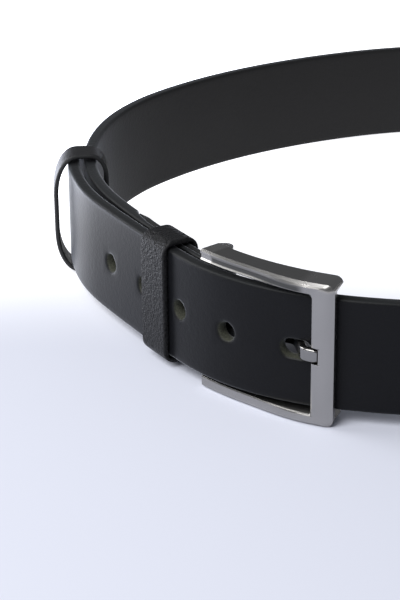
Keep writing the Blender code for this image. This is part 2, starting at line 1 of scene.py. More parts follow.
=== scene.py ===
import json
import math
import bpy
import numpy as np
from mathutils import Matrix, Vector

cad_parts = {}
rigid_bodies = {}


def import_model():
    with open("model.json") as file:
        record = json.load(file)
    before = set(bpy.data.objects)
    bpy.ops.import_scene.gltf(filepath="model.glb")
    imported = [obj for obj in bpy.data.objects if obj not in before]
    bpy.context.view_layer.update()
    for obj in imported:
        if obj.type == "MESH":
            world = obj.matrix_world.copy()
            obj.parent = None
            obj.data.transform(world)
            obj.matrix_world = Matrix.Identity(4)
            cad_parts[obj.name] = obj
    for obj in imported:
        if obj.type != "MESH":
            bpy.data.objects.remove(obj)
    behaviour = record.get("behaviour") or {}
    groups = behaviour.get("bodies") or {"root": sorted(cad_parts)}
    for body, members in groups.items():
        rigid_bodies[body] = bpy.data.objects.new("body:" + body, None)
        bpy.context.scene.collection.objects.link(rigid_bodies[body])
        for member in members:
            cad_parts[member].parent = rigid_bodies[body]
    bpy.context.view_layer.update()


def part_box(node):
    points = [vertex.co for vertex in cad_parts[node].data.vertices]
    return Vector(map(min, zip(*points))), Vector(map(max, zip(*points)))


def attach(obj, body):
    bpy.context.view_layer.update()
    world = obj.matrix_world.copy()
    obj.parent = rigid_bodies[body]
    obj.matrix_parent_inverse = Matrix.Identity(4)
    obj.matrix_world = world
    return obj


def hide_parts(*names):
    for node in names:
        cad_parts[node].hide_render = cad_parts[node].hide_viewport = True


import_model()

mm = 0.001   # shapes are worked out in millimetres

# Flat space, as if the belt lay straight: x runs along the strap, y from its outer face towards
# the wearer, z up from its lower edge. place() wraps it round the loop.


# ---- numbers and arrays

def smoothStep(value, start, end):
    # 0 before start, 1 after end, an S-shaped cubic between
    ratio = np.clip((np.asarray(value, float) - start) / (end - start), 0, 1)
    return ratio * ratio * (3 - 2 * ratio)


def roundedLoop(corners, radii, steps):
    # closed outline whose corners are cut by parabolas that start a radius away on both sides
    corners = np.array(corners, float)
    radii = np.broadcast_to(np.array(radii, float), (len(corners),))[:, None]
    before, after = np.roll(corners, 1, 0) - corners, np.roll(corners, -1, 0) - corners
    start = corners + before / np.linalg.norm(before, axis=1)[:, None] * radii
    end = corners + after / np.linalg.norm(after, axis=1)[:, None] * radii
    t = np.linspace(0, 1, steps + 1)[None, :, None]
    curves = ((1 - t) ** 2 * start[:, None] + 2 * t * (1 - t) * corners[:, None]
              + t ** 2 * end[:, None])
    return curves.reshape(-1, 2)


def runAlong(line):
    # distance of every point of a polyline from its first
    return np.append(0, np.cumsum(np.linalg.norm(np.diff(line, axis=0), axis=1)))


def resampled(loop, count):
    # evenly spaced points round a closed polyline
    line = np.vstack([loop, loop[:1]])
    run = runAlong(line)
    at = np.linspace(0, run[-1], count + 1)[:-1]
    return np.stack([np.interp(at, run, line[:, k]) for k in range(line.shape[1])], 1)


def throughKnots(knots, steps):
    # Catmull-Rom curve: each stretch is a cubic that keeps the slope of its neighbours' chord
    knots = np.array(knots, float)
    ends = np.vstack([2 * knots[0] - knots[1], knots, 2 * knots[-1] - knots[-2]])
    t = np.linspace(0, 1, steps + 1)[None, 1:, None]
    a, b, c, d = (ends[k:len(ends) - 3 + k, None] for k in range(4))
    curve = 0.5 * (2 * b + (c - a) * t + (2 * a - 5 * b + 4 * c - d) * t ** 2
                   + (3 * b - a - 3 * c + d) * t ** 3)
    return np.vstack([knots[:1], curve.reshape(-1, knots.shape[1])])


# ---- the loop that the belt follows

beltShape = {
    "arcs": [(105, 23.8), (440, 7.5), (120, 63.0), (214, 30.5)],    # radius, turn; from the buckle
    "width": 40, "thickness": 4.5, "middle": 20,
    "railDrop": 4.7,            # how far the buckle's lower rail hangs below the strap
    "dropFades": (-60, 150),    # across this stretch of y the strap comes down to the floor
}


def loopArcs():
    # half the loop as arcs: centre, heading at the start, radius and start distance of each
    point, heading, start, rows = np.zeros(2), math.pi, 0.0, []
    outward = lambda angle: np.array([math.cos(angle + math.pi / 2), math.sin(angle + math.pi / 2)])
    for index in range(len(beltShape["arcs"]) + 1):
        if index < len(beltShape["arcs"]):
            radius, turn = beltShape["arcs"][index]
            turn = math.radians(turn)
        else:
            radius, turn = -point[0] / math.sin(heading), heading   # closes on the far side
        centre = point - radius * outward(heading)
        rows.append((*centre, heading, radius, start))
        heading -= turn
        start += radius * turn
        point = centre + radius * outward(heading)
    return np.array(rows), 2 * start, point[1]


arcs, loopLength, loopDepth = loopArcs()
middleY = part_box("strap")[1].y / mm - loopDepth


def place(x, y, z):
    # walks -x along the loop, steps y inwards along its normal and lifts z where the front is high
    x, y, z = np.broadcast_arrays(np.asarray(x, float), y, z)
    along = np.mod(-x, loopLength)
    mirrored = along > loopLength / 2
    rest = np.where(mirrored, loopLength - along, along)
    arc = arcs[np.searchsorted(arcs[:, 4], rest, side="right") - 1]
    angle = arc[..., 2] - (rest - arc[..., 4]) / arc[..., 3] + math.pi / 2
    side = np.where(mirrored, -1, 1)
    reach = arc[..., 3] - y
    worldX = side * (arc[..., 0] + reach * np.cos(angle))
    worldY = arc[..., 1] + reach * np.sin(angle)
    lift = beltShape["railDrop"] * (1 - smoothStep(worldY - loopDepth / 2, *beltShape["dropFades"]))
    return np.stack([worldX, worldY + middleY, z + lift], -1)


# ---- meshes

def tubeFaces(stations, ring, wraps=False):
    # quads of a grid of rings, each ring closed on itself
    i = np.arange(stations if wraps else stations - 1)[:, None]
    j = np.arange(ring)[None]
    ahead, over = (i + 1) % stations, (j + 1) % ring
    quads = np.stack([i * ring + j, i * ring + over, ahead * ring + over, ahead * ring + j], -1)
    return quads.reshape(-1, 4)


def tubeCaps(stations, ring):
    # the two end polygons of such a grid
    first = np.arange(ring)
    return [first[::-1].tolist(), (first + (stations - 1) * ring).tolist()]


def makePiece(name, points, faces, body, slotName, material, caps=(), sharp=40, **attributes):
    # closed mesh from points in millimetres; rides on a body, takes its material and carries
    # attributes
    mesh = bpy.data.meshes.new(name)
    mesh.from_pydata((np.asarray(points) * mm).tolist(), [], faces.tolist() + list(caps))
    mesh.validate()
    outwards(mesh)
    for key, values in attributes.items():
        layer = mesh.attributes.new(key, "FLOAT", "POINT")
        layer.data.foreach_set("value", np.asarray(values, np.float32))
    mesh.shade_smooth()
    mesh.set_sharp_from_angle(angle=math.radians(sharp))
    piece = bpy.data.objects.new(name, mesh)
    bpy.context.scene.collection.objects.link(piece)
    mesh.materials.append(material)
    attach(piece, body)
    return piece


def outwards(mesh):
    # turns every face so that the closed body's volume is positive
    co = np.empty(len(mesh.vertices) * 3)
    mesh.vertices.foreach_get("co", co)
    co = co.reshape(-1, 3)
    mesh.calc_loop_triangles()
    tri = np.empty(len(mesh.loop_triangles) * 3, int)
    mesh.loop_triangles.foreach_get("vertices", tri)
    a, b, c = (co[tri.reshape(-1, 3)[:, k]] for k in range(3))
    if np.einsum("ij,ij->i", a, np.cross(b, c)).sum() < 0:
        mesh.flip_normals()


# ---- shader maths

class Wire:
    # one output socket; arithmetic on it adds Math nodes
    def __init__(self, socket):
        self.socket, self.tree = socket, socket.id_data

    def maths(self, operation, *values):
        return addNode(self.tree, "ShaderNodeMath", {"operation": operation},
                       dict(enumerate(values)))["Value"]

    def __add__(self, other): return self.maths("ADD", self, other)
    def __radd__(self, other): return self.maths("ADD", other, self)
    def __sub__(self, other): return self.maths("SUBTRACT", self, other)
    def __rsub__(self, other): return self.maths("SUBTRACT", other, self)
    def __mul__(self, other): return self.maths("MULTIPLY", self, other)
    def __rmul__(self, other): return self.maths("MULTIPLY", other, self)
    def __pow__(self, other): return self.maths("POWER", self, other)

    def clamped(self, low=0.0, high=1.0):
        return self.maths("MAXIMUM", self.maths("MINIMUM", self, high), low)

    def band(self, low, high):
        # 0 below low, 1 above high, smooth between
        node = addNode(self.tree, "ShaderNodeMapRange", {"interpolation_type": "SMOOTHSTEP"},
                       {"Value": self, "From Min": low, "From Max": high})
        return node["Result"]


def findSocket(sockets, key):
    if isinstance(key, int):
        return sockets[key]
    return next(s for s in sockets if s.identifier == key or s.name == key)


def feed(tree, socket, value):
    # links a wire to the socket, or sets a constant
    if isinstance(value, Wire):
        tree.links.new(value.socket, socket)
    else:
        socket.default_value = value


class Outputs:
    # a node's outputs by name
    def __init__(self, node):
        self.node = node

    def __getitem__(self, key):
        return Wire(findSocket(self.node.outputs, key))


def addNode(tree, kind, settings=None, inputs=None):
    node = tree.nodes.new(kind)
    for key, value in (settings or {}).items():
        setattr(node, key, value)
    for key, value in (inputs or {}).items():
        feed(tree, findSocket(node.inputs, key), value)
    return Outputs(node)


class Finish:
    # a material with one Principled shader, and short names for its textures
    def __init__(self, name, **constants):
        self.material = bpy.data.materials.new(name)
        self.material.use_nodes = True
        self.tree = self.material.node_tree
        self.shader = self.tree.nodes["Principled BSDF"]
        for key, value in constants.items():
            self.set(key, value)
        self.place = addNode(self.tree, "ShaderNodeTexCoord")["Object"]

    def set(self, key, value):
        feed(self.tree, findSocket(self.shader.inputs, key.replace("_", " ")), value)

    def add(self, kind, settings=None, **inputs):
        return addNode(self.tree, kind, settings, inputs)

    def stretched(self, x, y, z):
        return self.add("ShaderNodeMapping", Vector=self.place, Scale=(x, y, z))["Vector"]

    def noise(self, scale, detail=3.0, roughness=0.5, where=None):
        node = self.add("ShaderNodeTexNoise", Vector=where or self.place, Scale=scale,
                        Detail=detail, Roughness=roughness)
        return node["Fac"]

    def cells(self, scale, feature="F1"):
        node = self.add("ShaderNodeTexVoronoi", {"feature": feature}, Vector=self.place,
                        Scale=scale)
        return node["Distance"]

    def attribute(self, name):
        return self.add("ShaderNodeAttribute", {"attribute_name": name})["Fac"]

    def mixed(self, factor, first, second):
        node = addNode(self.tree, "ShaderNodeMix", {"data_type": "RGBA"},
                       {"Factor_Float": factor, "A_Color": first, "B_Color": second})
        return node["Result_Color"]

    def bump(self, height, distance, strength=1.0):
        node = self.add("ShaderNodeBump", Height=height, Distance=distance, Strength=strength)
        self.set("Normal", node["Normal"])


def color(r, g, b):
    return (r, g, b, 1.0)


# ---- strap: folded round the hinge pin, once round the waist and out again as the tail

strapShape = {
    "step": 1.9, "fineStep": 1.6, "tableStep": 0.25, "rows": 24, "blockRows": 4, "corner": 1.2,
    # turned ply
    "pin": -29, "foldRadius": 4.15, "foldLength": 56, "foldCloses": 9, "skived": 2.1,
    "skiveLength": 12, "feather": 0.5, "featherNarrows": 7, "featherHalf": 19, "plyGap": 0.8,
    # tail
    "tailEnd": 177, "tipLength": 30, "tipEnd": 0.9995, "tipFlat": 2.6, "tipRound": 1.7,
    "tightGap": 0.6, "loosening": 1.2, "loosens": (66, 120), "climb": (-46, 30),
    # openings
    "holes": [90.0, 66.2, 42.5, 19.6], "holeRadius": 3.3, "holeReach": 6.2,
    "usedHole": -6.2, "usedStretch": 1.9,
    "slotHeight": 20.6, "slotHalf": 10.4, "slotRadius": 2.8, "slotReach": 3.45,
    "posts": [-41.5, -72], "postRadius": 2.5, "postReach": 5.0,
}
# an opening's rims: extra radius, fixed depth, share of the thickness, rawness
holeRims = [(1.6, 0, 0, 0), (0.9, 0.10, 0, 0.0), (0.35, 0.32, 0, 0.12), (0.05, 0.75, 0, 0.8),
            (0, -0.6, 1, 1), (0.3, 0, 1, 1)]
slotRims = [(0.5, 0, 0, 0.2), (0.1, 0.3, 0, 1), (0.1, -0.3, 1, 1), (0.4, 0, 1, 1)]
seatRims = [(2.2, 0, 0, 0), (2.0, 0.3, 0, 0.6), (2.0, 1.2, 0, 1), (0, 1.25, 0, 1), (0, 0, 1, 1)]
shankRims = [(0.3, 0, 0, 0.3), (0, 0.3, 0, 1), (0, 0, 1, 1)]


def tailFace(along):
    # distance from the inner ply's outer face out to the tail's outer face
    s = strapShape
    gap = s["tightGap"] + s["loosening"] * smoothStep(along, *s["loosens"])
    return smoothStep(along, *s["climb"]) * (gap + beltShape["thickness"])


def strapLine():
    # runs along the grain face, and rows of x, y, direction to the flesh, thickness, half width:
    # the turned ply, a half circle round the pin, then the lap, where x = -along and y = -tailFace
    s, full, wide = strapShape, beltShape["thickness"], beltShape["width"] / 2
    length, step, turns = s["foldLength"], s["tableStep"], 60
    back = np.arange(length, 0, -step)
    closing = (2 * s["foldRadius"] - full) * (1 - smoothStep(back, 0, s["foldCloses"]))
    angle = np.linspace(0, math.pi, turns)
    along = np.arange(-s["pin"] + step, loopLength + s["tailEnd"], step)
    tip = (along - loopLength - s["tailEnd"] + s["tipLength"]) / s["tipLength"]
    tip = np.clip(tip, 0, s["tipEnd"])
    line = np.stack([
        np.concatenate([s["pin"] - back, s["pin"] + s["foldRadius"] * np.sin(angle), -along]),
        np.concatenate([full + closing, s["foldRadius"] * (1 + np.cos(angle)),
                        -tailFace(along - loopLength)])], 1)

    # the turned ply thins to a feather, and the ply under it is skived by as much
    skive = length - s["skiveLength"]
    turned = np.interp(back, [skive, length], [s["skived"], s["feather"]])
    under = np.interp(along + s["pin"], [skive, length + 0.05, length + 0.6],
                      [s["skived"], full - s["plyGap"], full])
    thick = np.concatenate([turned, np.full(turns, s["skived"]), under])
    narrowed = np.interp(back, [length - s["featherNarrows"], length], [wide, s["featherHalf"]])
    rounded = wide * (1 - tip ** s["tipFlat"]) ** (1 / s["tipRound"])
    half = np.concatenate([narrowed, np.full(turns, wide), rounded])
    run = runAlong(line)
    tangent = np.gradient(line, run, axis=0)
    tangent /= np.linalg.norm(tangent, axis=1)[:, None]
    return run, np.column_stack([line, tangent[:, 1], -tangent[:, 0], thick, half])


lineRun, lineRows = strapLine()
foldTop = strapShape["foldLength"]                              # run where the half circle starts
lapStart = foldTop + math.pi * strapShape["foldRadius"] + 0.2   # and just past its end


def onStrap(u, z, depth):
    # point of the strap: u along its grain face, z from the lower edge, depth towards the flesh
    x, y, fleshX, fleshY = (np.interp(u, lineRun, lineRows[:, k]) for k in range(4))
    return place(x + fleshX * depth, y + fleshY * depth, z)


def runAt(along):
    # run of a place on the lap
    lap = lineRun > lapStart
    return np.interp(along, -lineRows[lap, 0], lineRun[lap])


def strapOpenings():
    # centre run, centre height, half length, radius, reach of its block of cells and rims of each
    s, middle = strapShape, beltShape["middle"]
    rows = [(runAt(loopLength + hole), middle, 0.0, s["holeRadius"], s["holeReach"], holeRims)
            for hole in s["holes"]]
    rows.append((runAt(loopLength + s["usedHole"]), middle, s["usedStretch"], s["holeRadius"],
                 s["holeReach"], holeRims))                     # a slot, worn long by the prong
    rows.append((foldTop + math.pi * s["foldRadius"] / 2, s["slotHeight"], s["slotHalf"],
                 s["slotRadius"], s["slotReach"], slotRims))
    for post in s["posts"]:
        size = (0.0, s["postRadius"], s["postReach"])
        rows.append((foldTop - (s["pin"] - post), middle, *size, shankRims))
        rows.append((runAt(-post), middle, *size, seatRims))
    return sorted(rows, key=lambda row: row[0])


def strapStations(openings):
    # runs of the section's stations, even across every opening, and each opening's first and last
    s = strapShape
    stations, blocks, last = [], [], 0.0
    for centre, _, length, _, reach, _ in openings:
        start, end = centre - length - reach, centre + length + reach
        steps = max(2, math.ceil((start - last) / s["step"]))
        stations.append(np.linspace(last, start, steps + 1)[:-1])
        first = sum(map(len, stations))
        cells = 2 * math.ceil((length + reach) / s["fineStep"])
        stations.append(np.linspace(start, end, cells + 1)[:-1])
        blocks.append((first, first + cells))
        last = end
    tipStart = lineRun[-1] - s["tipLength"]
    steps = math.ceil((tipStart - last) / s["step"])
    stations.append(np.linspace(last, tipStart, steps + 1)[:-1])
    left = (1 - np.linspace(0, 1, 40)) ** 2                     # closer together towards the tip
    stations.append(lineRun[-1] - s["tipLength"] * left)
    return np.concatenate(stations), blocks


def strapSection():
    # once round: grain face, upper edge, flesh face, lower edge. A row weighs four lengths: the
    # flat face's half width, the corner's radius across and in depth, and the straight depth
    across = np.linspace(-1, 1, strapShape["rows"] + 1)
    none, one = 0 * across, np.ones(4)
    turn = np.radians([22.5, 45, 67.5, 90])
    grainCorner = np.stack([one, np.sin(turn), 1 - np.cos(turn), 0 * one], 1)
    fleshCorner = np.stack([one, np.sin(turn), 1 + np.cos(turn), one], 1)[::-1]
    side = np.vstack([grainCorner, [[1, 1, 1, 0.5]], fleshCorner])
    grain = np.stack([across, none, none, none], 1)
    flesh = np.stack([across[::-1], none, none + 2, none + 1], 1)
    weights = np.vstack([grain, side, flesh, side[::-1] * [-1, -1, 1, 1]])
    cut = [0.25, 0.7, 1, 1, 1, 1, 1, 0.7, 0.25]                 # how far a row is cut edge
    edge = np.concatenate([none, cut, none, cut])
    fade = np.linspace(0, 1, len(cut))
    lining = np.concatenate([none, fade, none + 1, fade[::-1]])
    return weights, edge, lining


def makeStrap():
    s, rows, block = strapShape, strapShape["rows"], strapShape["blockRows"]
    openings = strapOpenings()
    u, blocks = strapStations(openings)
    weights, edgeRow, liningRow = strapSection()
    ring = len(weights)
    thick, wide = (np.interp(u, lineRun, lineRows[:, k])[:, None] for k in (4, 5))
    corner = np.minimum(np.minimum(s["corner"], 0.45 * thick), 0.9 * wide)
    z = beltShape["middle"] + weights[:, 0] * (wide - corner) + weights[:, 1] * corner
    depth = weights[:, 2] * corner + weights[:, 3] * (thick - 2 * corner)
    points = [onStrap(u[:, None], z, depth).reshape(-1, 3)]

    # attributes: cut edge, lining side, raw fibre, and painted shade in the gap between the tail
    # and the inner ply
    edge, lining = np.tile(edgeRow, len(u)), np.tile(liningRow, len(u))
    along = -np.interp(u, lineRun, lineRows[:, 0])
    lap = u > lapStart
    tail = np.where(lap, smoothStep(along, loopLength - 40, loopLength - 15), 0)[:, None]
    covered = np.where(lap, 1 - smoothStep(along, 160, 176), 0)[:, None]
    shade = (liningRow * tail + (1 - liningRow) * (1 - edgeRow) * covered).ravel()
    attributes = [np.stack([edge, lining, 0 * edge, shade], 1)]

    # an opening takes a block of cells out of both faces and lofts rims from one to the other
    cells = tubeFaces(len(u), ring)
    station, column = cells[:, 0] // ring, cells[:, 0] % ring
    low, high = rows // 2 - block, rows // 2 + block
    fleshRow = ring // 2
    inBlock = (((column >= low) & (column < high))
               | ((column >= fleshRow + low) & (column < fleshRow + high)))
    gone = np.zeros(len(cells), bool)
    faces, count = [], len(points[0])
    for (first, end), (centre, height, length, radius, _, rims) in zip(blocks, openings):
        gone |= inBlock & (station >= first) & (station < end)
        i, k = np.arange(first, end), np.arange(low, high)
        border = np.vstack([np.stack([i, 0 * i + low], 1), np.stack([0 * k + end, k], 1),
                            np.stack([i[::-1] + 1, 0 * i + high], 1),
                            np.stack([0 * k + first, k[::-1] + 1], 1)])
        du = u[border[:, 0]] - centre
        core = np.clip(du, -length, length)
        away = np.stack([du - core, z[border[:, 0], border[:, 1]] - height], 1)
        away /= np.linalg.norm(away, axis=1)[:, None]
        local = np.interp(centre + core + away[:, 0] * radius, lineRun, lineRows[:, 4])
        loops = [border[:, 0] * ring + border[:, 1]]
        for extra, fixed, share, rawness in rims:
            points.append(onStrap(centre + core + away[:, 0] * (radius + extra),
                                  height + away[:, 1] * (radius + extra), fixed + share * local))
            attributes.append(np.tile([0, share, rawness, 0], (len(border), 1)))
            loops.append(count + np.arange(len(border)))
            count += len(border)
        loops.append(border[:, 0] * ring + fleshRow + rows - border[:, 1])
        for near, far in zip(loops, loops[1:]):
            faces.append(np.stack([near, np.roll(near, -1), np.roll(far, -1), far], 1))

    edge, lining, raw, shade = np.vstack(attributes).T
    faces = np.vstack([cells[~gone]] + faces)
    strap = makePiece("strapLeather", np.vstack(points), faces, "strap_body", "strap_leather",
                      strapFinish(), tubeCaps(len(u), ring), 50,
                      edge=edge, lining=lining, raw=raw, shade=shade)
    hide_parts("strap")


def strapFinish():
    f = Finish("strapLeather", Specular_IOR_Level=0.14, Sheen_Weight=0.50, Sheen_Roughness=0.28,
               Sheen_Tint=color(0.86, 0.90, 1.0))
    fine = f.cells(1500)
    coarse = f.cells(620, "SMOOTH_F1")
    mottle = f.noise(26, 4, 0.6)
    crease = f.noise(160, 3, 0.6, f.stretched(1, 1, 3.5))
    edge, lining, raw = (f.attribute(name) for name in ("edge", "lining", "raw"))
    base = f.mixed(mottle, color(0.0032, 0.0034, 0.0044), color(0.0056, 0.0059, 0.0073))
    base = f.mixed(edge * 0.85, base, color(0.016, 0.018, 0.019))
    base = f.mixed(lining * 0.8, base, color(0.016, 0.0158, 0.0163))
    fibres = f.noise(1800, 4, 0.7)
    base = f.mixed((raw * (fibres * 2.2 - 0.35)).clamped(), base, color(0.085, 0.088, 0.066))
    # painted shade: near black on the inner ply's grain under the tail and on the tail's flesh
    # side, seen in the gap between them
    base = f.mixed(f.attribute("shade") * 0.9, base, color(0.0015, 0.0015, 0.0015))
    f.set("Base Color", base)
    roughness = 0.29 + mottle * 0.10 + edge * 0.14 + lining * 0.3 + raw * 0.35
    f.set("Roughness", roughness.clamped(0, 0.95))
    grit = f.noise(2600, 2) * (0.15 + lining * 0.6)
    f.bump(fine * -0.5 + coarse * -0.7 + crease * 0.35 + grit, 0.00010, 0.45)
    return f.material


# ---- keepers: leather bands round both plies

fixedKeeperShape = {
    "low": (-5.6, -0.8), "high": (5.0, 40.8), "front": (1.1, 1.1), "rear": (1.1, 1.1),
    "thickness": 2.0, "rounding": 1.9, "centre": -55.5, "width": 15, "edgeRadius": 0.7,
    "rimWidth": 0.9,
}
freeKeeperShape = {
    "low": (-10.4, -2.6), "high": (7.3, 41.8), "front": (7.5, 14.5), "rear": (5.0, 8.0),
    "thickness": 1.7, "rounding": 0.0, "centre": -145.1, "width": 11.2, "edgeRadius": 0.75,
    "rimWidth": 0.9,
}


def keeperBand(low, high, front, rear, thickness, rounding, centre, width, edgeRadius, rimWidth):
    # a section with rounded edges taken round an opening from low to high in y and z. The opening's
    # corners are quarter ellipses, front or rear in size; the outside runs a thickness further out
    corners = ((high[0], low[1], -90, rear), (high[0], high[1], 0, rear),
               (low[0], high[1], 90, front), (low[0], low[1], 180, front))
    quarters = []
    for y, z, start, (wide, tall) in corners:
        centreY = y - wide if y == high[0] else y + wide
        centreZ = z - tall if z == high[1] else z + tall
        # the outside can be rounder than the opening, about a centre drawn in by the difference
        outerY = centreY + math.copysign(rounding, centreY - y)
        outerZ = centreZ + math.copysign(rounding, centreZ - z)
        angle = np.radians(start + np.linspace(0, 90, 13))
        quarters.append(np.stack([centreY + wide * np.cos(angle), centreZ + tall * np.sin(angle),
                                  outerY + (wide + thickness + rounding) * np.cos(angle),
                                  outerZ + (tall + thickness + rounding) * np.sin(angle)], 1))
    outline = []
    t = np.linspace(0, 1, 16)[1:-1, None]
    for here, ahead in zip(quarters, quarters[1:] + quarters[:1]):
        outline.append(here)
        outline.append(here[-1] * (1 - t) + ahead[0] * t)
    outline = np.vstack(outline)[:, None]

    half = width / 2
    sectionCorners = [(-half, 0), (half, 0), (half, thickness), (-half, thickness)]
    section = resampled(roundedLoop(sectionCorners, edgeRadius, 6), 88)
    share = section[None, :, 1, None] / thickness               # 0 at the opening, 1 outside
    yz = outline[..., :2] * (1 - share) + outline[..., 2:] * share
    points = place(centre + section[:, 0], yz[..., 0], yz[..., 1]).reshape(-1, 3)
    rim = np.clip((np.abs(section[:, 0]) - (half - rimWidth)) / rimWidth, 0, 1)
    return points, tubeFaces(len(outline), len(section), True), np.tile(rim, len(outline))


def makeKeepers():
    points, faces, rim = keeperBand(**fixedKeeperShape)
    fixed = makePiece("fixedKeeperLeather", points, faces, "strap_body", "fixed_keeper_leather",
                      pebbleFinish(), rim=rim)
    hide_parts("fixed_keeper")
    points, faces, rim = keeperBand(**freeKeeperShape)
    free = makePiece("freeKeeperLeather", points, faces, "free_keeper", "free_keeper_leather",
                     looseFinish(), rim=rim)
    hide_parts("free_keeper")


def pebbleFinish():
    f = Finish("fixedKeeperLeather", Specular_IOR_Level=0.18)
    pebble = f.cells(900, "SMOOTH_F1")
    fine = f.cells(2100)
    mottle = f.noise(60, 3)
    rim = f.attribute("rim")
    base = f.mixed(mottle, color(0.0040, 0.0041, 0.0048), color(0.0075, 0.0077, 0.0088))
    base = f.mixed((pebble * 1.2).clamped(), color(0.011, 0.0112, 0.0128), base)
    base = f.mixed(rim * 0.8, base, color(0.012, 0.012, 0.013))
    f.set("Base Color", base)
    f.set("Roughness", 0.34 + mottle * 0.12 + rim * 0.15)
    f.bump(pebble * -1.0 + fine * -0.5, 0.00045, 1.0)
    return f.material


def looseFinish():
    f = Finish("freeKeeperLeather", Specular_IOR_Level=0.3)
    fine = f.cells(1300)
    mottle = f.noise(45, 3)
    rim = f.attribute("rim")
    base = f.mixed(mottle, color(0.010, 0.010, 0.0112), color(0.017, 0.017, 0.0185))
    base = f.mixed(rim * 0.7, base, color(0.026, 0.027, 0.028))
    f.set("Base Color", base)
    f.set("Roughness", 0.42 + mottle * 0.12 + rim * 0.12)
    f.bump(fine * -0.7 + f.noise(900, 3) * 0.4, 0.00012, 0.6)
    return f.material


# ---- buckle frame: two rails and a faceted bar in one U

frameShape = {
    "left": -31.5, "barLeft": 12.6, "barRight": 20.2,
    "lower": (-0.5, -4.7), "upper": (41.7, 45.9),               # inner and outer side of each rail
    "innerCorner": {1: 1.6, -1: 0.4}, "outerCorner": 2.6,       # up and down
    "railSpans": [(-31.2, -25.6, 12), (-24.5, 7.0, 22), (7.6, 10.6, 7)],    # start, end, stations
    "barSteps": [2.0, 2.6, 3.2, 5.0, 8.0, 12.0, 16.0],          # in from the rail's inner side
    "notchSteps": [1.0, 0.35, 0.0, -0.35],                      # past the notch's side
    "notchHeight": 20.6, "notchHalf": 2.9,
    "rises": (-14, 11.5),       # across this stretch of x the rail's front takes the bar's shape
    "backStep": 8,              # the back takes it this many stations into the corner
    "lug": -29, "lugRadius": 3.2, "lugSunk": 0.25, "groove": 0.45,
    "darkEnds": (7.5, 11.5), "darkStarts": (-27.2, -26.0),
    "bevel": 0.22, "bevelAngle": 22,
}
# sections as share across (inner side to outer side) and depth y, in front and then behind
railSection = np.array([
    (0.0, -3.0), (0.05, -4.0), (0.15, -4.2), (0.27, -3.75), (0.58, -3.75), (0.66, -4.2),
    (0.86, -4.2), (1.0, -3.3), (1.0, 3.6), (0.85, 4.4), (0.15, 4.4), (0.0, 3.6)])
barSection = np.array([
    (0.0, -5.0), (0.05, -5.8), (0.12, -6.2), (0.2, -6.38), (0.45, -6.49), (0.64, -6.47),
    (0.82, -6.1), (1.0, -5.2), (1.0, -3.1), (0.92, -2.59), (0.08, -2.59), (0.0, -3.1)])
notchSection = np.array([(0.0, -3.3), (0.03, -3.8), (0.16, -3.89), (0.35, -3.95), (0.365, -6.4)])
# painted shade taken by each point of the rail's section: full in the groove, partly on the front
# above it, the top and the back
railShadeRow = [0, 0, 0.3, 1, 1, 0.6, 0.4, 0.5, 0.5, 0.6, 0.6, 0]
frontPoints = 8


def cornerArc(x, z, radius, up):
    # quarter circle from a rail's direction to the bar's
    turn = np.radians(np.linspace(0, 90, 9))
    drop = radius - radius * np.cos(turn)
    return np.stack([x - radius + radius * np.sin(turn), z - up * drop], 1)


def halfFrame(up, inner, outer):
    # stations from a rail's left end round the corner to the notch. Each has how far it takes the
    # bar's shape in front and behind, how far the lug swells behind it, and 1 in the notch
    s = frameShape
    spans = [np.linspace(*span) for span in s["railSpans"]]
    alongRail = np.concatenate([[s["left"]]] + spans)
    rail = np.stack([alongRail, 0 * alongRail + inner, alongRail, 0 * alongRail + outer], 1)
    corner = np.hstack([cornerArc(s["barLeft"], inner, s["innerCorner"][up], up),
                        cornerArc(s["barRight"], outer, s["outerCorner"], up)])
    heights = [inner - up * step for step in s["barSteps"]]
    heights += [s["notchHeight"] + up * (s["notchHalf"] + step) for step in s["notchSteps"]]
    heights = np.array(heights)
    bar = np.stack([0 * heights + s["barLeft"], heights, 0 * heights + s["barRight"], heights], 1)
    stations = np.vstack([rail, corner, bar])
    count = len(rail)
    rise, fall, swell, notch = np.zeros((4, len(stations)))
    rise[:count] = smoothStep(alongRail, *s["rises"])
    rise[count:] = 1
    fall[count + s["backStep"]:] = 1                            # steps clear of the strap's edge
    lug = np.sqrt(np.clip(s["lugRadius"] ** 2 - (alongRail - s["lug"]) ** 2, 0, None))
    swell[:count] = np.maximum(lug - s["lugSunk"], 0)
    notch[-1] = 1
    return stations, rise, fall, swell, notch


def makeFrame():
    s, ring = frameShape, len(railSection)
    upper = halfFrame(1, *s["upper"])
    lower = halfFrame(-1, *s["lower"])
    joined = [np.concatenate([a, b[::-1]]) for a, b in zip(upper, lower)]
    stations, rise, fall, swell, notch = joined
    isLower = np.arange(len(stations)) >= len(upper[0])

    weight = np.where(np.arange(ring) < frontPoints, rise[:, None], fall[:, None])[..., None]
    section = railSection * (1 - weight) + barSection * weight
    section[isLower, 3:5, 1] -= s["groove"] * (1 - rise[isLower, None])     # the lower is plain
    section[:, 9:11, 1] += swell[:, None]
    section[notch > 0, :len(notchSection)] = notchSection
    share = section[..., 0]
    x = stations[:, None, 0] * (1 - share) + stations[:, None, 2] * share
    z = stations[:, None, 1] * (1 - share) + stations[:, None, 3] * share
    points = place(x, section[..., 1], z).reshape(-1, 3)

    # painted shade: the upper rail's groove is made dark, and its front above the groove, its top
    # and its back partly so, but for the rail's flat end and the bar
    dark = (1 - smoothStep(stations[:, 0], *s["darkEnds"])) * ~isLower
    dark *= smoothStep(stations[:, 0], *s["darkStarts"])
    recess = np.tile(railShadeRow, len(stations)) * np.repeat(dark, ring)
    faces, caps = tubeFaces(len(stations), ring), tubeCaps(len(stations), ring)
    buckle = makePiece("buckleFrame", points, faces, "buckle", "buckle_metal", frameFinish(),
                       caps, 20, recess=recess)
    bevel = buckle.modifiers.new("softEdges", "BEVEL")
    bevel.width = s["bevel"] * mm
    bevel.segments = 2
    bevel.limit_method = "ANGLE"
    bevel.angle_limit = math.radians(s["bevelAngle"])
    bevel.harden_normals = True
    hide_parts("buckle_frame")


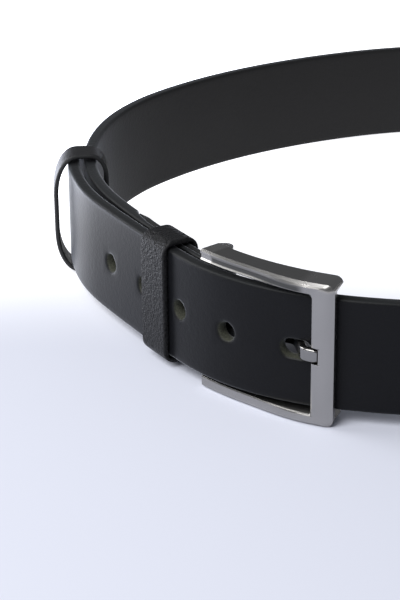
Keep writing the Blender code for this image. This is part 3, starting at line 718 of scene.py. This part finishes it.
def frameFinish():
    f = Finish("buckleMetal", Metallic=1.0)
    brush = f.noise(900, 3, 0.6, f.stretched(0.25, 0.25, 1))
    cloud = f.noise(40, 3)
    recess = f.attribute("recess")
    base = f.mixed(cloud, color(0.31, 0.303, 0.297), color(0.395, 0.385, 0.375))
    # painted shade: near black in the upper rail's groove, partly on its top and back
    base = f.mixed(recess * 0.85, base, color(0.045, 0.046, 0.044))
    f.set("Base Color", base)
    f.set("Roughness", 0.20 + brush * 0.10 + recess * 0.2)
    f.bump(brush, 0.00002, 0.3)
    return f.material


# ---- prong: strip rolled round the pin, up through the used hole to the bar's notch

prongShape = {
    "pin": (-29, 4.15), "eye": 3.2, "wrap": 270, "width": 4.6, "thickness": 2.3, "height": 20.6,
    "leaves": (12, 1.1),                        # past the pin in x, inwards of the eye in y
    "lies": [(-8, 0.9), (-3.1, 0.6)],           # from the used hole in x, off the tail in y
    "through": (1.4, 0.75),                     # from the used hole in x, share of the tail's depth
    "ledge": (4.3, -5.04),                      # from the used hole in x, place in y
    "tip": (15.0, -5.34), "tipFullness": (1, 0.99, 0.96, 0.9, 0.74),
    "edgeRadii": [0.75, 0.75, 0.5, 0.5],
    "tarnishEnds": (7.5, 10.0),                 # painted shade: near black where it lies inside the belt
}


def prongLine():
    # middle of the strip in plan: round the pin, along under the tail, through it, onto the bar
    s, full = prongShape, beltShape["thickness"]
    pinX, pinY = s["pin"]
    angle = np.radians(s["wrap"] * (np.linspace(0, 1, 41) - 1) - 90)
    eye = np.stack([pinX + s["eye"] * np.cos(angle), pinY + s["eye"] * np.sin(angle)], 1)
    used = -strapShape["usedHole"]
    fleshY = -float(tailFace(-used)) + full
    under = fleshY + s["thickness"] / 2
    knots = [eye[-1], (pinX + s["leaves"][0], pinY - s["eye"] + s["leaves"][1])]
    knots += [(used + step, under + gap) for step, gap in s["lies"]]
    knots += [(used + s["through"][0], fleshY - full * s["through"][1]),
              (used + s["ledge"][0], s["ledge"][1]), s["tip"]]
    return np.vstack([eye, throughKnots(knots, 8)[1:]])


def makeProng():
    s = prongShape
    line = prongLine()
    tangent = np.gradient(line, axis=0)
    tangent /= np.linalg.norm(tangent, axis=1)[:, None]
    side = np.stack([-tangent[:, 1], tangent[:, 0]], 1)         # towards the wearer while x grows
    w, t = s["width"] / 2, s["thickness"] / 2
    section = roundedLoop([(-w, -t), (w, -t), (w, t), (-w, t)], s["edgeRadii"], 4)
    ring = len(section)
    fullness = np.ones(len(line))
    fullness[-len(s["tipFullness"]):] = s["tipFullness"]
    z = s["height"] + section[:, 0] * fullness[:, None]
    offset = section[:, 1] * np.minimum(1, fullness + 0.1)[:, None]
    xy = line[:, None] + side[:, None] * offset[..., None]
    points = place(xy[..., 0], xy[..., 1], z).reshape(-1, 3)
    # painted shade along the part of the prong that lies inside the belt
    tarnish = np.repeat(1 - smoothStep(line[:, 0], *s["tarnishEnds"]), ring)
    finish = metalFinish("prongMetal", (0.29, 0.285, 0.28), 0.12)
    prong = makePiece("prongMetal", points, tubeFaces(len(line), ring), "prong", "prong_metal",
                      finish, tubeCaps(len(line), ring), 35, tarnish=tarnish)
    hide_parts("prong")


def metalFinish(name, tint, roughness):
    f = Finish(name, Metallic=1.0)
    wear = f.noise(300, 4, 0.6)
    beltShade = f.attribute("tarnish")
    shade = f.mixed(wear, color(*(v * 0.8 for v in tint)), color(*tint))
    # painted shade: near black and rougher where the prong lies inside the belt
    f.set("Base Color", f.mixed(beltShade, shade, color(0.012, 0.012, 0.012)))
    f.set("Roughness", roughness + wear * 0.12 + beltShade * 0.3)
    f.bump(wear, 0.00002, 0.25)
    return f.material


def paintHardware():
    # the pin, staples, posts and screws keep their own shapes
    finishes = {
        "hinge_pin": metalFinish("pinMetal", (0.36, 0.36, 0.37), 0.25),
        "staple": metalFinish("stapleWire", (0.45, 0.45, 0.46), 0.3),
        "screw": metalFinish("postMetal", (0.40, 0.40, 0.41), 0.28),
    }
    for node in bpy.data.objects:
        for key, material in finishes.items():
            if key in node.name and node.type == "MESH":
                for slot in node.material_slots:
                    slot.material = material


# ---- floor, light and camera, in metres

floorShape = {
    "size": 24.0,
    "shadow": (-0.015, -0.108), "shadowFades": (0.006, 0.034),   # painted shadow, just inside the front of the belt
    "pool": (0.05, -0.25), "poolFades": (0.20, 0.85),            # where the floor is greyest
    "rearFades": (-0.09, 0.07), "outerFades": (0.165, 0.30),
}
# place, side of its square, power
lamps = {
    "keyLight": ((-0.30, -1.25, 1.25), 1.1, 26.0),
    "sideLight": ((-1.3, -0.35, 0.75), 0.8, 11.0),
}
cameraShape = {"place": (0.300287, -0.663745, 0.303344), "tilt": 66.0121, "turn": 31.4828,
               "lens": 119.640, "shiftX": -0.084216, "sensor": (24, 36)}


def makeFloor():
    s = floorShape
    half = s["size"] / 2
    corners = [(-half, -half, 0), (half, -half, 0), (half, half, 0), (-half, half, 0)]
    mesh = bpy.data.meshes.new("floor")
    mesh.from_pydata(corners, [], [(0, 1, 2, 3)])
    floor = bpy.data.objects.new("floor", mesh)
    bpy.context.scene.collection.objects.link(floor)
    f = Finish("floor", Specular_IOR_Level=0.1, Roughness=0.7)
    axes = f.add("ShaderNodeSeparateXYZ", Vector=f.place)
    x, y = axes["X"], axes["Y"]

    def distanceFrom(centre):
        return ((x - centre[0]) ** 2 + (y - centre[1]) ** 2) ** 0.5

    behind = (y * 0.85 - x * 0.5).band(*s["rearFades"])
    around = distanceFrom(s["pool"]).band(*s["poolFades"])
    far = (behind + around).clamped()
    # painted shadow: the floor is made near black just inside the front of the belt
    shadow = 1 - distanceFrom(s["shadow"]).band(*s["shadowFades"])
    base = f.mixed(far, color(0.74, 0.765, 0.87), color(0.95, 0.955, 0.97))
    f.set("Base Color", f.mixed(shadow * 0.93, base, color(0.02, 0.02, 0.022)))
    # painted light: though no lamp, it glows towards white far off, and more so behind on the left,
    # where the strap's left part reflects it as a sheen
    outer = (x * -1).band(*s["outerFades"]) * behind
    glow = f.mixed(far, color(0.0, 0.0, 0.0), color(0.9, 0.9, 0.92))
    f.set("Emission Color", f.mixed(outer, glow, color(4.4, 4.6, 5.3)))
    f.set("Emission Strength", 1.0)
    f.bump(f.noise(30, 3), 0.0001, 0.1)
    mesh.materials.append(f.material)


def makeLights():
    world = bpy.data.worlds.new("studio")
    world.use_nodes = True
    background = world.node_tree.nodes["Background"]
    background.inputs["Color"].default_value = color(0.93, 0.95, 1.0)
    background.inputs["Strength"].default_value = 0.20
    bpy.context.scene.world = world
    bpy.context.scene.view_settings.view_transform = "Standard"
    for name, (position, side, power) in lamps.items():
        lamp = bpy.data.lights.new(name, "AREA")
        lamp.size = side
        lamp.energy = power
        holder = bpy.data.objects.new(name, lamp)
        holder.location = position
        x, y, z = position
        # faces the origin
        holder.rotation_euler = (math.atan2(math.hypot(x, y), z), 0, math.atan2(x, -y))
        bpy.context.scene.collection.objects.link(holder)


def makeCamera():
    s = cameraShape
    camera = bpy.data.cameras.new("camera")
    camera.sensor_fit = "VERTICAL"
    camera.sensor_width, camera.sensor_height = s["sensor"]
    camera.lens = s["lens"]
    camera.shift_x = s["shiftX"]
    camera.clip_start = 0.01
    holder = bpy.data.objects.new("camera", camera)
    holder.location = s["place"]
    holder.rotation_euler = (math.radians(s["tilt"]), 0, math.radians(s["turn"]))
    bpy.context.scene.collection.objects.link(holder)
    bpy.context.scene.camera = holder


makeStrap()
print("strap made")
makeKeepers()
print("keepers made")
makeFrame()
makeProng()
paintHardware()
print("buckle made")
makeFloor()
makeLights()
makeCamera()
print("stage set")
